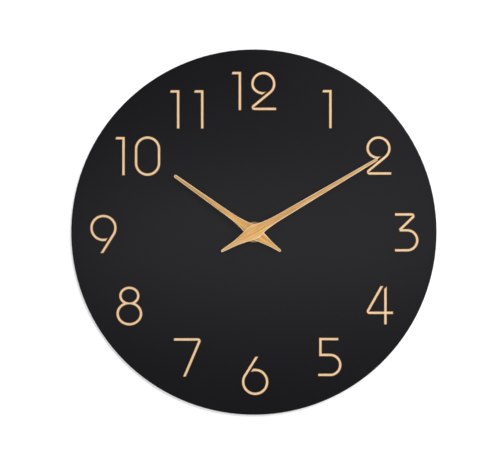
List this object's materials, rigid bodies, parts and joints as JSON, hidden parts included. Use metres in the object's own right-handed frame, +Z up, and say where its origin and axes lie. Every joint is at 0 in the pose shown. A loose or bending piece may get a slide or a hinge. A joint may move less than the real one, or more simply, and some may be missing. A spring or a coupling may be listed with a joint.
{
  "type": "wall clock",
  "caption": "Frameless round quartz wall clock: flat disc dial with applied numerals, two leaf hands and a one-cell movement with its wheel train behind the disc.",
  "frame": {"origin": "on the hand axis, in the plane of the movement's rear face, which hangs against the wall", "axes": "+Z up to twelve, +X towards three, +Y into the wall, so the dial faces -Y"},
  "size_m": [0.3, 0.0314, 0.3],
  "materials": {
    "dial_paint": "fibreboard with matt black paint",
    "numeral_film": "flat pale gold film",
    "hand_wood": "clear-coated pale veneer",
    "brass": "turned brass",
    "gasket_rubber": "moulded rubber",
    "zinc_steel": "zinc plated pressing",
    "case_plastic": "black moulded ABS",
    "plate_plastic": "natural acetal",
    "wheel_plastic": "natural acetal",
    "magnet": "bonded ferrite",
    "core_steel": "annealed nickel iron",
    "bobbin_plastic": "black nylon",
    "copper_wire": "enamelled copper wire",
    "board_laminate": "glass fibre laminate",
    "chip_resin": "black epoxy drop",
    "crystal_can": "drawn metal can",
    "contact_steel": "nickel plated spring strip",
    "cell_jacket": "plain jacketed steel can"
  },
  "bodies": {
    "movement": {"dial_board": "dial_paint", "numeral_1": "numeral_film", "numeral_2": "numeral_film", "numeral_3": "numeral_film", "numeral_4": "numeral_film", "numeral_5": "numeral_film", "numeral_6": "numeral_film", "numeral_7": "numeral_film", "numeral_8": "numeral_film", "numeral_9": "numeral_film", "numeral_10": "numeral_film", "numeral_11": "numeral_film", "numeral_12": "numeral_film", "dial_washer": "brass", "hex_nut": "brass", "threaded_bushing": "brass", "rubber_gasket": "gasket_rubber", "hanger_plate": "zinc_steel", "front_case": "case_plastic", "rear_cover": "case_plastic", "middle_plate": "plate_plastic", "stator": "core_steel", "coil_core": "core_steel", "coil_bobbin": "bobbin_plastic", "coil_winding": "copper_wire", "circuit_board": "board_laminate", "driver_chip": "chip_resin", "quartz_crystal": "crystal_can", "contact_positive": "contact_steel", "contact_negative": "contact_steel", "battery_cell": "cell_jacket"},
    "minute_hand_group": {"minute_arbor": "wheel_plastic", "minute_hand": "hand_wood", "minute_hand_boss": "brass"},
    "hour_hand_group": {"hour_wheel": "wheel_plastic", "hour_hand": "hand_wood", "hour_hand_boss": "brass"},
    "minute_wheel_group": {"minute_wheel": "wheel_plastic"},
    "setting_knob_group": {"setting_knob": "case_plastic"},
    "seconds_wheel_group": {"seconds_wheel": "wheel_plastic"},
    "centre_wheel_group": {"centre_wheel": "wheel_plastic"},
    "third_wheel_group": {"third_wheel": "wheel_plastic"},
    "intermediate_wheel_group": {"intermediate_wheel": "wheel_plastic"},
    "rotor_group": {"rotor_pinion": "wheel_plastic", "rotor_magnet": "magnet"}
  },
  "joints": [
    {"name": "minute_turn", "type": "hinge", "parent": "movement", "child": "minute_hand_group", "pos_m": [0, 0, 0], "axis": [0, 1, 0], "continuous": true},
    {"name": "hour_turn", "type": "hinge", "parent": "movement", "child": "hour_hand_group", "pos_m": [0, 0, 0], "axis": [0, 1, 0], "continuous": true},
    {"name": "minute_wheel_turn", "type": "hinge", "parent": "movement", "child": "minute_wheel_group", "pos_m": [0.00936, 0, 0.00655], "axis": [0, 1, 0], "continuous": true},
    {"name": "knob_turn", "type": "hinge", "parent": "movement", "child": "setting_knob_group", "pos_m": [0.0164, 0, 0.01556], "axis": [0, 1, 0], "continuous": true},
    {"name": "seconds_turn", "type": "hinge", "parent": "movement", "child": "seconds_wheel_group", "pos_m": [0, 0, 0], "axis": [0, 1, 0], "continuous": true},
    {"name": "centre_turn", "type": "hinge", "parent": "movement", "child": "centre_wheel_group", "pos_m": [0, 0, 0], "axis": [0, 1, 0], "continuous": true},
    {"name": "third_turn", "type": "hinge", "parent": "movement", "child": "third_wheel_group", "pos_m": [-0.01071, 0, 0.00037], "axis": [0, 1, 0], "continuous": true},
    {"name": "intermediate_turn", "type": "hinge", "parent": "movement", "child": "intermediate_wheel_group", "pos_m": [-0.00165, 0, 0.00938], "axis": [0, 1, 0], "continuous": true},
    {"name": "rotor_turn", "type": "hinge", "parent": "movement", "child": "rotor_group", "pos_m": [-0.00848, 0, 0.01511], "axis": [0, 1, 0], "continuous": true}
  ],
  "couplings": [
    {"joint": "hour_turn", "follows": "minute_turn", "ratio": 0.083333},
    {"joint": "minute_wheel_turn", "follows": "minute_turn", "ratio": -0.33333},
    {"joint": "knob_turn", "follows": "minute_turn", "ratio": 1},
    {"joint": "centre_turn", "follows": "seconds_turn", "ratio": 0.016667},
    {"joint": "third_turn", "follows": "seconds_turn", "ratio": -0.13333},
    {"joint": "intermediate_turn", "follows": "seconds_turn", "ratio": -5},
    {"joint": "rotor_turn", "follows": "seconds_turn", "ratio": 30}
  ]
}
